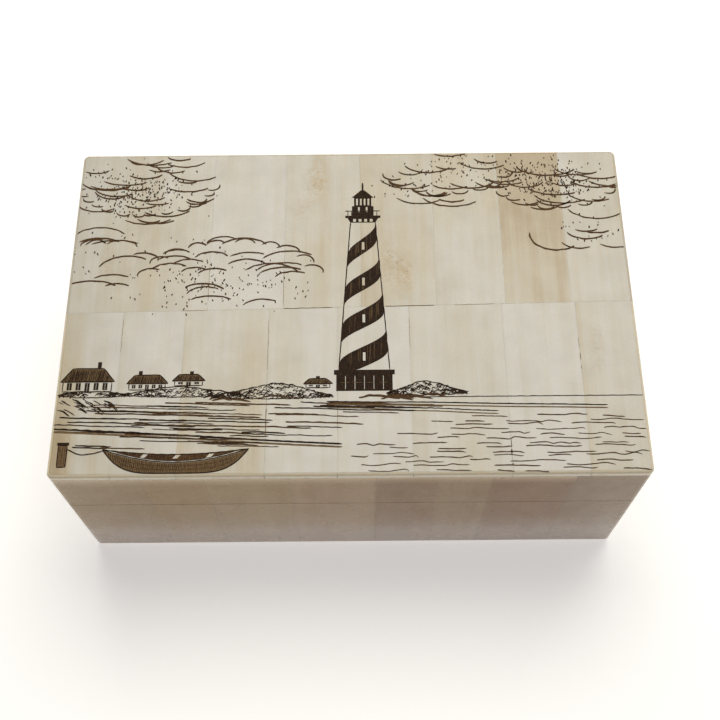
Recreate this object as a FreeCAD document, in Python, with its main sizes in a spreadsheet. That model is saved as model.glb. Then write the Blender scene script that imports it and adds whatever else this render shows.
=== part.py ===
# Hinged trinket box: a wooden carcass veneered on every side with glued tiles of polished bone.
#
# The box is glued up and tiled closed, then sawn into a base and a lid, so the tile joints run on
# across the seam. Two brass butt hinges are let into the back rims. Their pins lie just inside the
# back face, and the back edges of both rims are bevelled away from the pins: the bevels meet and
# stop the lid a little past upright.
#
# Frame: +Z up, +X to the right, front towards -Y. The origin is the centre of the felt under the
# base. Millimetres.

import FreeCAD, Part
import os
import Sketcher
from FreeCAD import Rotation, Vector

DIMENSIONS = {
    # the finished box
    "outer_width": 152.0,
    "outer_depth": 97.5,
    "outer_height": 60.0,
    "lid_height": 22.0,
    "seam_gap": 0.2,
    "corner_round": 1.6,
    "top_round": 0.9,
    "bottom_round": 1.2,
    # its layers
    "bone_thick": 2.0,
    "wall_thick": 5.0,
    "panel_thick": 4.0,
    "felt_thick": 0.8,
    "felt_inset": 1.5,
    "felt_corner": 3.0,
    "liner_clearance": 0.3,
    # the tiles: the joint between the lid's two rows runs slightly askew
    "tile_gap": 0.1,
    "row_joint_y": -1.3,
    "row_joint_slope": 0.0155,
    # the hinges
    "hinge_centre": 44.0,
    "hinge_length": 24.0,
    "pin_inset": 1.6,
    "pin_radius": 0.6,
    "pin_head_radius": 1.1,
    "pin_head_thick": 0.3,
    "pin_clearance": 0.03,
    "knuckle_radius": 1.5,
    "knuckle_gap": 0.1,
    "barrel_clearance": 0.25,
    "leaf_thick": 0.8,
    "leaf_reach": 5.0,
    "leaf_clearance": 0.05,
    "bevel_angle": 51.0,
    # the hinge screws
    "screw_spacing": 15.0,
    "screw_setback": 3.4,
    "screw_length": 7.0,
    "screw_point": 1.2,
    "screw_radius": 0.7,
    "screw_head_radius": 1.25,
    "screw_head_thick": 0.6,
    "screw_clearance": 0.03,
    "slot_width": 0.35,
    "slot_depth": 0.3,
}

# Where one tile ends and the next begins: along X on the lid's two rows and on the front and back
# walls, along Y on the left and right walls.
TILE_JOINTS = {
    "back_row": (-58.2, -38.0, -17.8, 3.0, 23.3, 41.7, 59.4),
    "front_row": (-60.2, -43.8, -21.5, -3.2, 15.8, 40.6, 60.2),
    "long_wall": (-53.0, -37.0, -15.5, 6.5, 22.5, 36.0, 57.0),
    "short_wall": (-27.0, -9.0, 8.0, 26.0),
}

LEFT, RIGHT = "(-Dims.outer_width / 2)", "(Dims.outer_width / 2)"
FRONT, BACK = "(-Dims.outer_depth / 2)", "(Dims.outer_depth / 2)"
TOP = "Dims.outer_height"
SEAM = "(Dims.outer_height - Dims.lid_height)"
PIN_Y = "(Dims.outer_depth / 2 - Dims.pin_inset)"
RIM = {
    "base": f"({SEAM} - Dims.seam_gap / 2)",
    "lid": f"({SEAM} + Dims.seam_gap / 2)",
}
LID_PANEL_LOW = "(Dims.outer_height - Dims.bone_thick - Dims.panel_thick)"
LID_PANEL_HIGH = "(Dims.outer_height - Dims.bone_thick)"
FLOOR_LOW = "Dims.felt_thick"
FLOOR_HIGH = "(Dims.felt_thick + Dims.panel_thick)"

doc = FreeCAD.newDocument("BoneBox")
sheet = doc.addObject("Spreadsheet::Sheet", "Dims")
nodes = []


def fill_sheet():
    """Writes each driving dimension to a cell of its own, with its name beside it as the alias."""
    cells = dict(DIMENSIONS)
    for run, joints in TILE_JOINTS.items():
        for number, place in enumerate(joints, 1):
            cells[f"{run}_joint_{number}"] = place
    for row, (alias, size) in enumerate(cells.items(), 1):
        sheet.set(f"A{row}", alias)
        sheet.set(f"B{row}", str(size))
        sheet.setAlias(f"B{row}", alias)
    doc.recompute()


def node(shape, label):
    """Marks a document object as a sub-part of the box, to be exported under this label."""
    shape.Label = label
    nodes.append(shape)
    return shape


# ---------------------------------------------------------------- primitives and booleans


def place(shape, x="0", y="0", z="0", turn=None):
    """Binds where a shape stands to the sheet; turn is a fixed rotation."""
    if turn:
        shape.Placement = FreeCAD.Placement(Vector(), turn)
    shape.setExpression("Placement.Base.x", x)
    shape.setExpression("Placement.Base.y", y)
    shape.setExpression("Placement.Base.z", z)
    return shape


def block(name, x, y, z):
    """A Part::Box between a low and a high expression along each axis."""
    box = doc.addObject("Part::Box", name)
    for size, (low, high) in zip(("Length", "Width", "Height"), (x, y, z)):
        box.setExpression(size, f"({high}) - ({low})")
    return place(box, x[0], y[0], z[0])


def rod_along_x(name, centre_x, half_length, radius):
    """A Part::Cylinder on the hinge pins' line."""
    rod = doc.addObject("Part::Cylinder", name)
    rod.setExpression("Radius", radius)
    rod.setExpression("Height", f"2 * ({half_length})")
    turn = Rotation(Vector(0, 1, 0), 90)
    return place(rod, f"({centre_x}) - ({half_length})", PIN_Y, SEAM, turn)


def compound(name, shapes):
    group = doc.addObject("Part::Compound", name)
    group.Links = shapes
    return group


def fused(name, shapes):
    fusion = doc.addObject("Part::MultiFuse", name)
    fusion.Shapes = shapes
    return fusion


def boolean(kind, name, base, tool):
    """A Part::Cut or Part::Common of two document objects."""
    result = doc.addObject(f"Part::{kind}", name)
    result.Base = base
    result.Tool = tool
    return result


# ---------------------------------------------------------------- sketches and bodies


def sketch_on(body, role, name):
    """An empty sketch on one of the body's own origin planes."""
    plane = next(f for f in body.Origin.OriginFeatures if f.Role == role)
    sketch = body.newObject("Sketcher::SketchObject", name)
    sketch.AttachmentSupport = [(plane, "")]
    sketch.MapMode = "FlatFace"
    return sketch


def draw_outline(sketch, corners):
    """Closes straight lines through the corners, given as (x, y) expressions bound to the sheet."""
    points = [Vector(*(float(sheet.evalExpression(c)) for c in corner), 0) for corner in corners]
    for index, start in enumerate(points):
        end = points[(index + 1) % len(points)]
        sketch.addGeometry(Part.LineSegment(start, end), False)
    for index in range(len(points)):
        following = (index + 1) % len(points)
        sketch.addConstraint(Sketcher.Constraint("Coincident", index, 2, following, 1))
    for index, (corner, point) in enumerate(zip(corners, points)):
        for kind, axis, expression, value in (
            ("DistanceX", -2, corner[0], point.x),
            ("DistanceY", -1, corner[1], point.y),
        ):
            if value == 0:
                sketch.addConstraint(Sketcher.Constraint("PointOnObject", index, 1, axis))
                continue
            bound = Sketcher.Constraint(kind, -1, 1, index, 1, value)
            name = f"{kind}_{index}"
            sketch.renameConstraint(sketch.addConstraint(bound), name)
            sketch.setExpression(f"Constraints.{name}", expression)
    return sketch


def round_edges(body, name, base, radius, chosen):
    """A PartDesign::Fillet on those edges of base that the test picks."""
    doc.recompute()
    picked = [f"Edge{n}" for n, edge in enumerate(base.Shape.Edges, 1) if chosen(edge)]
    fillet = body.newObject("PartDesign::Fillet", name)
    fillet.Base = (base, picked)
    fillet.setExpression("Radius", radius)
    return fillet


def is_upright(edge):
    box = edge.BoundBox
    return box.ZLength > 1e-6 and box.XLength < 1e-6 and box.YLength < 1e-6


def slab(name, half_x, half_y, low, high, corner):
    """A PartDesign::Body: a rectangle centred on the origin, padded, with its four corners rounded."""
    body = doc.addObject("PartDesign::Body", name)
    corners = (
        (f"-({half_x})", f"-({half_y})"),
        (half_x, f"-({half_y})"),
        (half_x, half_y),
        (f"-({half_x})", half_y),
    )
    outline = draw_outline(sketch_on(body, "XY_Plane", f"{name}_outline"), corners)
    pad = body.newObject("PartDesign::Pad", f"{name}_pad")
    pad.Profile = outline
    pad.setExpression("Length", f"({high}) - ({low})")
    rounded = round_edges(body, f"{name}_corners", pad, corner, is_upright)
    place(body, z=low)
    return body, rounded


def turned(name, role, outline, axis):
    """A PartDesign::Body: an outline turned once round one of its sketch's own axes."""
    body = doc.addObject("PartDesign::Body", name)
    sketch = draw_outline(sketch_on(body, role, f"{name}_profile"), outline)
    revolution = body.newObject("PartDesign::Revolution", f"{name}_turned")
    revolution.Profile = sketch
    revolution.ReferenceAxis = (sketch, [axis])
    revolution.Angle = 360
    return body


# ---------------------------------------------------------------- carcass, felt and outer form


def outer_form():
    """The polished outside of the box, which every tile is trimmed to."""
    body, rounded = slab(
        "outer_form",
        "Dims.outer_width / 2",
        "Dims.outer_depth / 2",
        FLOOR_LOW,
        TOP,
        "Dims.corner_round",
    )
    doc.recompute()
    height = rounded.Shape.BoundBox.ZMax
    top = round_edges(
        body,
        "outer_form_top",
        rounded,
        "Dims.top_round",
        lambda edge: edge.BoundBox.ZMin > height - 1e-6,
    )
    round_edges(
        body,
        "outer_form_bottom",
        top,
        "Dims.bottom_round",
        lambda edge: edge.BoundBox.ZMax < 1e-6,
    )
    return body


def walls(half, z):
    """The four wooden walls of one half, glued butt to butt: the long ones run past the short ones."""
    outside_x = (f"{LEFT} + Dims.bone_thick", f"{RIGHT} - Dims.bone_thick")
    outside_y = (f"{FRONT} + Dims.bone_thick", f"{BACK} - Dims.bone_thick")
    inside_y = (f"{outside_y[0]} + Dims.wall_thick", f"{outside_y[1]} - Dims.wall_thick")
    left = (outside_x[0], f"{outside_x[0]} + Dims.wall_thick")
    right = (f"{outside_x[1]} - Dims.wall_thick", outside_x[1])
    made = {
        "front": block(f"{half}_front_wall", outside_x, (outside_y[0], inside_y[0]), z),
        "back": block(f"{half}_back_board", outside_x, (inside_y[1], outside_y[1]), z),
        "left": block(f"{half}_left_wall", left, inside_y, z),
        "right": block(f"{half}_right_wall", right, inside_y, z),
    }
    for side in ("front", "left", "right"):
        node(made[side], f"{half}_{side}_wall")
    return made["back"]


def panel(label, low, high):
    """The lid's or the base's flat wooden panel, as large as the walls' outside."""
    x = (f"{LEFT} + Dims.bone_thick", f"{RIGHT} - Dims.bone_thick")
    y = (f"{FRONT} + Dims.bone_thick", f"{BACK} - Dims.bone_thick")
    return node(block(label, x, y, (low, high)), label)


def felts():
    """The liner on the floor inside and the pad under the base, both cut from felt."""
    wall = "Dims.bone_thick + Dims.wall_thick + Dims.liner_clearance"
    liner, _ = slab(
        "floor_liner",
        f"Dims.outer_width / 2 - ({wall})",
        f"Dims.outer_depth / 2 - ({wall})",
        FLOOR_HIGH,
        f"{FLOOR_HIGH} + Dims.felt_thick",
        "Dims.liner_clearance",
    )
    pad, _ = slab(
        "underside_felt",
        "Dims.outer_width / 2 - Dims.felt_inset",
        "Dims.outer_depth / 2 - Dims.felt_inset",
        "0",
        "Dims.felt_thick",
        "Dims.felt_corner",
    )
    node(liner, "floor_liner")
    node(pad, "underside_felt")


# ---------------------------------------------------------------- tiles


def spans(run, low, high):
    """Low and high expressions of each tile in a run, with the glue gap taken off inside the run."""
    places = [f"Dims.{run}_joint_{n}" for n in range(1, len(TILE_JOINTS[run]) + 1)]
    half_gap = "Dims.tile_gap / 2"
    lows = [low] + [f"{p} + {half_gap}" for p in places]
    highs = [f"{p} - {half_gap}" for p in places] + [high]
    return list(zip(lows, highs))


def top_row(row, form):
    """One row of tiles on the lid. Each is a wedge, because the joint between the rows is askew."""
    for number, (left, right) in enumerate(spans(f"{row}_row", LEFT, RIGHT), 1):
        wedge = doc.addObject("Part::Wedge", f"{row}_tile_blank_{number}")
        wedge.setExpression("Ymin", left)
        wedge.setExpression("Ymax", right)
        for suffix, x in (("", left), ("2", right)):
            joint = f"(Dims.row_joint_y + ({x}) * Dims.row_joint_slope)"
            if row == "back":
                low, high = BACK, f"({joint} + Dims.tile_gap / 2)"
            else:
                low, high = f"({joint} - Dims.tile_gap / 2)", FRONT
            wedge.setExpression(f"X{suffix}min", f"-{low}")
            wedge.setExpression(f"X{suffix}max", f"-{high}")
            wedge.setExpression(f"Z{suffix}min", LID_PANEL_HIGH)
            wedge.setExpression(f"Z{suffix}max", TOP)
        wedge.Placement = FreeCAD.Placement(Vector(), Rotation(Vector(0, 0, 1), -90))
        label = f"lid_top_tile_{row}_{number}"
        node(boolean("Common", label, wedge, form), label)


def wall_tiles(half, side, z, form):
    """The run of tiles on one wall of one half, trimmed to the outer form."""
    blanks = []
    if side in ("front", "back"):
        low, high = FRONT, f"{FRONT} + Dims.bone_thick"
        if side == "back":
            low, high = f"{BACK} - Dims.bone_thick", BACK
        for number, x in enumerate(spans("long_wall", LEFT, RIGHT), 1):
            blanks.append(block(f"{half}_{side}_blank_{number}", x, (low, high), z))
    else:
        low, high = LEFT, f"{LEFT} + Dims.bone_thick"
        if side == "right":
            low, high = f"{RIGHT} - Dims.bone_thick", RIGHT
        ends = (
            f"{FRONT} + Dims.bone_thick + Dims.tile_gap",
            f"{BACK} - Dims.bone_thick - Dims.tile_gap",
        )
        for number, y in enumerate(spans("short_wall", *ends), 1):
            blanks.append(block(f"{half}_{side}_blank_{number}", (low, high), y, z))
    blank = compound(f"{half}_{side}_blanks", blanks)
    return boolean("Common", f"{half}_{side}_trimmed", blank, form)


# ---------------------------------------------------------------- hinges

HINGES = {"left": "-Dims.hinge_centre", "right": "Dims.hinge_centre"}
HALF_HINGE = "Dims.hinge_length / 2"
HALF_MIDDLE = "Dims.hinge_length / 6"
BARREL = "(Dims.knuckle_radius + Dims.barrel_clearance)"
SCREW_TURN = {"base": Rotation(), "lid": Rotation(Vector(1, 0, 0), 180)}


def leaf_height(half):
    """The leaf's low and high expressions: it lies flush in its rim."""
    if half == "base":
        return f"{RIM['base']} - Dims.leaf_thick", RIM["base"]
    return RIM["lid"], f"{RIM['lid']} + Dims.leaf_thick"


def screw_places(half, centre):
    """The x, y and z of each screw's head in one leaf."""
    for sign in ("-", "+"):
        x = f"{centre} {sign} Dims.screw_spacing / 2"
        yield x, f"{PIN_Y} - Dims.screw_setback", RIM[half]


def screw_hole(name, half, spot):
    """The countersunk hole that one screw sits in, through leaf and wood alike."""
    head = doc.addObject("Part::Cone", f"{name}_countersink")
    head.setExpression("Radius1", "Dims.screw_radius + Dims.screw_clearance")
    head.setExpression("Radius2", "Dims.screw_head_radius + Dims.screw_clearance")
    head.setExpression("Height", "Dims.screw_head_thick")
    place(head, z="-Dims.screw_head_thick")
    shank = doc.addObject("Part::Cylinder", f"{name}_bore")
    shank.setExpression("Radius", "Dims.screw_radius + Dims.screw_clearance")
    shank.setExpression("Height", "Dims.screw_length")
    place(shank, z="-Dims.screw_length")
    return place(fused(name, [head, shank]), *spot, SCREW_TURN[half])


def screw(label, half, spot):
    """A countersunk brass screw with a slot, turned about its own axis, head at its origin."""
    outline = (
        ("0", "0"),
        ("Dims.screw_head_radius", "0"),
        ("Dims.screw_radius", "-Dims.screw_head_thick"),
        ("Dims.screw_radius", "Dims.screw_point - Dims.screw_length"),
        ("0", "-Dims.screw_length"),
    )
    body = turned(label, "XZ_Plane", outline, "V_Axis")
    half_width, reach = "Dims.slot_width / 2", "Dims.screw_head_radius * 1.2"
    corners = (
        (f"-({reach})", f"-({half_width})"),
        (reach, f"-({half_width})"),
        (reach, half_width),
        (f"-({reach})", half_width),
    )
    slot = draw_outline(sketch_on(body, "XY_Plane", f"{label}_slot"), corners)
    doc.recompute()
    whole = body.Shape.Volume
    pocket = body.newObject("PartDesign::Pocket", f"{label}_slot_cut")
    pocket.Profile = slot
    pocket.setExpression("Length", "Dims.slot_depth")
    doc.recompute()
    if body.Shape.Volume >= whole:
        raise RuntimeError(f"the slot of {label} cuts nothing")
    return node(place(body, *spot, SCREW_TURN[half]), label)


def pin(label, centre):
    """A hinge pin, peened to a flat head at each end."""
    half, tip = HALF_HINGE, f"{HALF_HINGE} + Dims.pin_head_thick"
    outline = (
        (f"-({tip})", "0"),
        (tip, "0"),
        (tip, "Dims.pin_head_radius"),
        (half, "Dims.pin_head_radius"),
        (half, "Dims.pin_radius"),
        (f"-({half})", "Dims.pin_radius"),
        (f"-({half})", "Dims.pin_head_radius"),
        (f"-({tip})", "Dims.pin_head_radius"),
    )
    body = turned(label, "XY_Plane", outline, "H_Axis")
    return node(place(body, centre, PIN_Y, SEAM), label)


def leaf(side, half, centre, holes):
    """One hinge leaf: the base's has the two outer knuckles, the lid's has the middle one."""
    name = f"hinge_{side}_{half}_leaf"
    x = (f"{centre} - {HALF_HINGE}", f"{centre} + {HALF_HINGE}")
    plate = block(f"{name}_plate", x, (f"{PIN_Y} - Dims.leaf_reach", PIN_Y), leaf_height(half))
    middle = (
        f"{centre} - {HALF_MIDDLE} - Dims.knuckle_gap / 2",
        f"{centre} + {HALF_MIDDLE} + Dims.knuckle_gap / 2",
    )
    relief_y = (f"{PIN_Y} - {BARREL}", f"{PIN_Y} + {BARREL}")
    relief_z = (f"{SEAM} - {BARREL}", f"{SEAM} + {BARREL}")
    if half == "base":
        reliefs = [block(f"{name}_relief", middle, relief_y, relief_z)]
        half_knuckle = f"({HALF_HINGE} - {HALF_MIDDLE} - Dims.knuckle_gap / 2) / 2"
        centres = [f"{x[0]} + {half_knuckle}", f"{x[1]} - {half_knuckle}"]
    else:
        inner = (f"{middle[0]} + Dims.knuckle_gap", f"{middle[1]} - Dims.knuckle_gap")
        reliefs = [
            block(f"{name}_relief_{n}", run, relief_y, relief_z)
            for n, run in enumerate(((x[0], inner[0]), (inner[1], x[1])), 1)
        ]
        half_knuckle = f"({HALF_MIDDLE} - Dims.knuckle_gap / 2)"
        centres = [centre]
    knuckles = [
        rod_along_x(f"{name}_knuckle_{n}", spot, half_knuckle, "Dims.knuckle_radius")
        for n, spot in enumerate(centres, 1)
    ]
    cleared = boolean("Cut", f"{name}_cleared", plate, compound(f"{name}_reliefs", reliefs))
    solid = fused(f"{name}_solid", [cleared, *knuckles])
    bore = rod_along_x(
        f"{name}_bore", centre, f"{HALF_HINGE} + 1", "Dims.pin_radius + Dims.pin_clearance"
    )
    return node(boolean("Cut", name, solid, compound(f"{name}_holes", [bore, *holes])), name)


def hinge(side, centre):
    """Makes a whole hinge, and returns for each half what its back wall must be cut by."""
    mortises = {}
    x = (
        f"{centre} - {HALF_HINGE} - Dims.leaf_clearance",
        f"{centre} + {HALF_HINGE} + Dims.leaf_clearance",
    )
    y = (f"{PIN_Y} - Dims.leaf_reach - Dims.leaf_clearance", BACK)
    pocket_half = f"{HALF_HINGE} + Dims.pin_head_thick + Dims.barrel_clearance"
    for half in ("base", "lid"):
        spots = list(screw_places(half, centre))
        holes = [
            screw_hole(f"{side}_{half}_screw_hole_{n}", half, spot)
            for n, spot in enumerate(spots, 1)
        ]
        leaf(side, half, centre, holes)
        for number, spot in enumerate(spots, 1):
            screw(f"hinge_{side}_{half}_screw_{number}", half, spot)
        seat = block(f"{side}_{half}_leaf_seat", x, y, leaf_height(half))
        barrel = rod_along_x(f"{side}_{half}_barrel_pocket", centre, pocket_half, BARREL)
        mortises[half] = [seat, barrel, *holes]
    pin(f"hinge_{side}_pin", centre)
    return mortises


def back_bevel():
    """The V along the back seam: from the pins' line it opens outwards past the back face."""
    body = doc.addObject("PartDesign::Body", "back_bevel")
    reach = "(Dims.pin_inset + 1)"
    rise = f"{reach} * tan(Dims.bevel_angle * 1 deg)"
    corners = (
        (PIN_Y, SEAM),
        (f"{PIN_Y} + {reach}", f"{SEAM} - {rise}"),
        (f"{PIN_Y} + {reach}", f"{SEAM} + {rise}"),
    )
    outline = draw_outline(sketch_on(body, "YZ_Plane", "back_bevel_outline"), corners)
    pad = body.newObject("PartDesign::Pad", "back_bevel_pad")
    pad.Profile = outline
    pad.SideType = "Symmetric"
    pad.setExpression("Length", "Dims.outer_width + 2")
    return body


# ---------------------------------------------------------------- assembly and export


def build():
    fill_sheet()
    form = outer_form()
    bevel = back_bevel()
    mortises = {side: hinge(side, centre) for side, centre in HINGES.items()}
    felts()
    panel("base_floor_panel", FLOOR_LOW, FLOOR_HIGH)
    panel("lid_top_panel", LID_PANEL_LOW, LID_PANEL_HIGH)
    wood_height = {"base": (FLOOR_HIGH, RIM["base"]), "lid": (RIM["lid"], LID_PANEL_LOW)}
    tile_height = {
        "base": (FLOOR_LOW, RIM["base"]),
        "lid": (RIM["lid"], f"{LID_PANEL_HIGH} - Dims.tile_gap"),
    }
    for half in ("base", "lid"):
        board = walls(half, wood_height[half])
        tools = mortises["left"][half] + mortises["right"][half]
        label = f"{half}_back_wall"
        mortised = boolean("Cut", label, board, compound(f"{half}_mortises", tools))
        node(mortised, label)
        for side in ("front", "left", "right"):
            tiles = wall_tiles(half, side, tile_height[half], form)
            node(tiles, f"{half}_{side}_tiles")
        trimmed = wall_tiles(half, "back", tile_height[half], form)
        barrels = [mortises[side][half][1] for side in HINGES]
        clearing = compound(f"{half}_back_clearing", [bevel, *barrels])
        label = f"{half}_back_tiles"
        node(boolean("Cut", label, trimmed, clearing), label)
    for row in ("back", "front"):
        top_row(row, form)
    doc.recompute()


def check():
    """Stops on any object that failed to compute and on any sub-part that isn't sound solids."""
    failed = [o.Label for o in doc.Objects if {"Invalid", "Error"} & set(o.State)]
    if failed:
        raise RuntimeError(f"these objects failed: {failed}")
    for part in nodes:
        shape = part.Shape
        if shape.isNull() or not shape.isValid() or not shape.Solids:
            raise RuntimeError(f"{part.Label} has no valid solid")


def export():
    os.makedirs("parts", exist_ok=True)
    for part in nodes:
        part.Shape.exportStep(os.path.join("parts", f"{part.Label}.step"))
        count = len(part.Shape.Solids)
        print(f"{part.Label}: {count} solid(s), {part.Shape.Volume:.1f} mm3")


build()
check()
export()
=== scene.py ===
"""Looks for a hinged trinket box veneered with bone tiles, its lid engraved with a seaside picture.

Everything is in metres in the part's own frame: +Z up, front towards -Y. The engraving is drawn in
millimetres on the lid's top face and scaled when its meshes are made.
"""

import math
import random

import bpy
from mathutils import Matrix, Vector, noise
from mathutils.geometry import tessellate_polygon


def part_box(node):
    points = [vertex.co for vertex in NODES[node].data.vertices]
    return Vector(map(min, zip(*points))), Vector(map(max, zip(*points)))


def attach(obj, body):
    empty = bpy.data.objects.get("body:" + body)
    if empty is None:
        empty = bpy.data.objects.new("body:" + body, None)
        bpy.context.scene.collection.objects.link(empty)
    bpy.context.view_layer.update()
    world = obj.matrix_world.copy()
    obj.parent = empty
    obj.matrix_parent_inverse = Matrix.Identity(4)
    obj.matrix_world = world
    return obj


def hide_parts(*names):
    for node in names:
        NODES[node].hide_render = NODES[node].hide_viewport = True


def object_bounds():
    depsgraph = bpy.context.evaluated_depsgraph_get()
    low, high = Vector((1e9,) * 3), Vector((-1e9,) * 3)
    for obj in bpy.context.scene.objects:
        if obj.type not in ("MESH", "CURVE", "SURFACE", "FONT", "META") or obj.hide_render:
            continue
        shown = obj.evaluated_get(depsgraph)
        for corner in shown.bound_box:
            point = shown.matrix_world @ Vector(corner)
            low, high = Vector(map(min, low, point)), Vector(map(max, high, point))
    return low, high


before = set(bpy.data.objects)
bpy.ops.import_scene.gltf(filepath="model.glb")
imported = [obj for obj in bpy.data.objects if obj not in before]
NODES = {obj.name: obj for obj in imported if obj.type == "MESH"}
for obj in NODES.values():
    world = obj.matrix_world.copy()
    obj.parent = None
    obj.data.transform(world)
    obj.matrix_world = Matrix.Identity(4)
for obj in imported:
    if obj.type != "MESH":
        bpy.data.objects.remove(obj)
cad_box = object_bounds()

MM = 0.001


def add_object(name, data):
    made = bpy.data.objects.new(name, data)
    bpy.context.scene.collection.objects.link(made)
    return made


def add_piece(name, points, faces, materials):
    """Puts a mesh object of these points and faces in the scene."""
    mesh = bpy.data.meshes.new(name)
    mesh.from_pydata(points, [], faces)
    for material in materials:
        mesh.materials.append(material)
    return add_object(name, mesh)


# -------------------- colour and shader graphs


def srgb(red, green, blue):
    """A linear RGBA colour from 0-255 display values."""
    channels = []
    for value in (red, green, blue):
        share = value / 255
        channels.append(share / 12.92 if share <= 0.04045 else ((share + 0.055) / 1.055) ** 2.4)
    return (*channels, 1.0)


class Graph:
    """A material and its node tree. An input is a number, a colour or another node's output."""

    def __init__(self, name):
        self.material = bpy.data.materials.new(name)
        self.material.use_nodes = True
        self.tree = self.material.node_tree
        self.tree.nodes.clear()

    def node(self, kind, inputs, **settings):
        made = self.tree.nodes.new("ShaderNode" + kind)
        for name, value in settings.items():
            setattr(made, name, value)
        for socket, value in inputs.items():
            if isinstance(value, bpy.types.NodeSocket):
                self.tree.links.new(value, made.inputs[socket])
            else:
                made.inputs[socket].default_value = value
        return made

    def millimetres(self):
        """The place on the piece in the part's frame, in millimetres."""
        place = self.node("TexCoord", {}).outputs["Object"]
        scaled = self.node("VectorMath", {0: place, "Scale": 1000.0}, operation="SCALE")
        return scaled.outputs[0]

    def stretched(self, vector, stretch, offset=(0, 0, 0)):
        inputs = {0: vector, 1: stretch, 2: offset}
        return self.node("VectorMath", inputs, operation="MULTIPLY_ADD").outputs[0]

    def axis(self, vector, name):
        return self.node("SeparateXYZ", {0: vector}).outputs[name]

    def length(self, vector):
        return self.node("VectorMath", {0: vector}, operation="LENGTH").outputs["Value"]

    def noise(self, vector, scale, detail=2.0, roughness=0.5):
        inputs = {"Vector": vector, "Scale": scale, "Detail": detail, "Roughness": roughness}
        return self.node("TexNoise", inputs).outputs["Fac"]

    def math(self, operation, first, second=0.0, third=0.0):
        inputs = {0: first, 1: second, 2: third}
        return self.node("Math", inputs, operation=operation).outputs[0]

    def times(self, first, second):
        return self.math("MULTIPLY", first, second)

    def span(self, value, low, high, to_low=0.0, to_high=1.0):
        """Value from low..high brought to to_low..to_high and held there."""
        inputs = {"Value": value, 1: low, 2: high, 3: to_low, 4: to_high}
        return self.node("MapRange", inputs, clamp=True).outputs[0]

    def ramp(self, value, stops):
        made = self.node("ValToRGB", {"Fac": value})
        elements = made.color_ramp.elements
        while len(elements) < len(stops):
            elements.new(0.5)
        for element, (position, colour) in zip(elements, stops):
            element.position = position
            element.color = colour
        return made.outputs["Color"]

    def blend(self, value, stops):
        """The colour at a value, from stops of value and colour."""
        low, high = stops[0][0], stops[-1][0]
        shares = [((at - low) / (high - low), colour) for at, colour in stops]
        return self.ramp(self.span(value, low, high), shares)

    def profile(self, value, stops):
        """The number at a value, from stops of value and number."""
        return self.blend(value, [(at, grey(number)) for at, number in stops])

    def mix(self, factor, first, second, blend="MIX"):
        inputs = {0: factor, 6: first, 7: second}
        return self.node("Mix", inputs, data_type="RGBA", blend_type=blend).outputs[2]

    def bump(self, height, strength, distance):
        inputs = {"Height": height, "Strength": strength, "Distance": distance}
        return self.node("Bump", inputs).outputs["Normal"]

    def spot(self, place, x, y, half_x, half_y):
        """1 in the middle of an oval on the lid, falling to 0 at its rim."""
        offset = (-x / half_x, -y / half_y, 0)
        away = self.length(self.stretched(place, (1 / half_x, 1 / half_y, 0), offset))
        return self.span(away, 1.0, 0.1)

    def surface(self, **inputs):
        """Ends the graph in a Principled shader. An input's name is its socket's, with _ for a space."""
        sockets = {name.replace("_", " "): value for name, value in inputs.items()}
        shader = self.node("BsdfPrincipled", sockets)
        output = self.node("OutputMaterial", {"Surface": shader.outputs[0]})
        output.is_active_output = True
        return self.material


def grey(value):
    return (value, value, value, 1.0)


# -------------------- bone

# From the palest bone to the most tanned.
TOP_BONE = (srgb(216, 211, 201), srgb(208, 201, 183), srgb(202, 189, 160), srgb(186, 165, 126))
# The front tiles from left to right. They are darker and browner than the other walls': painted shade,
# as the front faces away from the lamp behind the box.
FRONT_BONE_SHADED = (
    srgb(171, 142, 97), srgb(174, 142, 89), srgb(178, 150, 104), srgb(180, 150, 111),
    srgb(156, 121, 82), srgb(166, 135, 94), srgb(154, 117, 79), srgb(156, 130, 98),
)
# The other walls draw their tiles from these.
SIDE_BONE = (
    srgb(212, 203, 184), srgb(206, 194, 168), srgb(198, 182, 150), srgb(208, 198, 177),
    srgb(190, 168, 130), srgb(203, 190, 162), srgb(214, 206, 190), srgb(200, 186, 157),
)
# The next three colours are painted light: a painted floor reflection for the walls' foot, a painted
# highlight for the lid's edges, a painted glow for the walls' brow.
FOOT_PAINTED_BOUNCE = srgb(226, 212, 204)
EDGE_PAINTED_LIGHT = srgb(255, 240, 213)
BROW_PAINTED_GLOW = srgb(250, 228, 192)
STAIN = srgb(184, 156, 96)
PORE = srgb(150, 132, 106)
SPECK = srgb(140, 112, 66)

# How tanned each tile is from its left edge to its right, 0 palest and 1 deepest.
TILE_TONES = {
    "back": (
        (0.1, 0.35, 0.42), (0.45, 0.3, 0.12), (0.15, 0.1, 0.08), (0.2, 0.38, 0.3),
        (0.75, 0.6, 0.3), (0.4, 0.38, 0.36), (0.78, 0.98, 0.95), (0.22, 0.3, 0.4),
    ),
    "front": (
        (0.72, 0.3, 0.1), (0.2, 0.06, 0.02), (0.55, 0.25, 0.2, 0.6, 0.3), (0.3, 0.05, 0.05),
        (0.15, 0.15, 0.1), (0.35, 0.1, 0.5, 0.25, 0.1), (0.02, 0.0, 0.0), (0.6, 0.25, 0.3),
    ),
}
# How much more tanned each tile is at its back end than in its middle.
TILE_LEANS = {
    "back": (0.0, 0.0, 0.05, 0.0, -0.05, 0.3, 0.3, 0.0),
    "front": (-0.25, -0.05, -0.15, 0.0, 0.0, 0.0, 0.0, 0.0),
}
# Stains that soaked into a tile: centre and half-size in X and Y, in millimetres, and strength.
STAINS = {
    "lid_top_tile_back_4": ((-9, 39, 5, 9, 0.75), (-13, 30, 4, 6, 0.4)),
    "lid_top_tile_back_5": ((14, 9, 5, 9, 0.9), (10.5, 15, 3, 6, 0.6)),
    "lid_top_tile_back_1": ((-66, 12, 3, 8, 0.4),),
    "lid_top_tile_front_8": ((65, -14, 3, 9, 0.35),),
}
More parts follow.
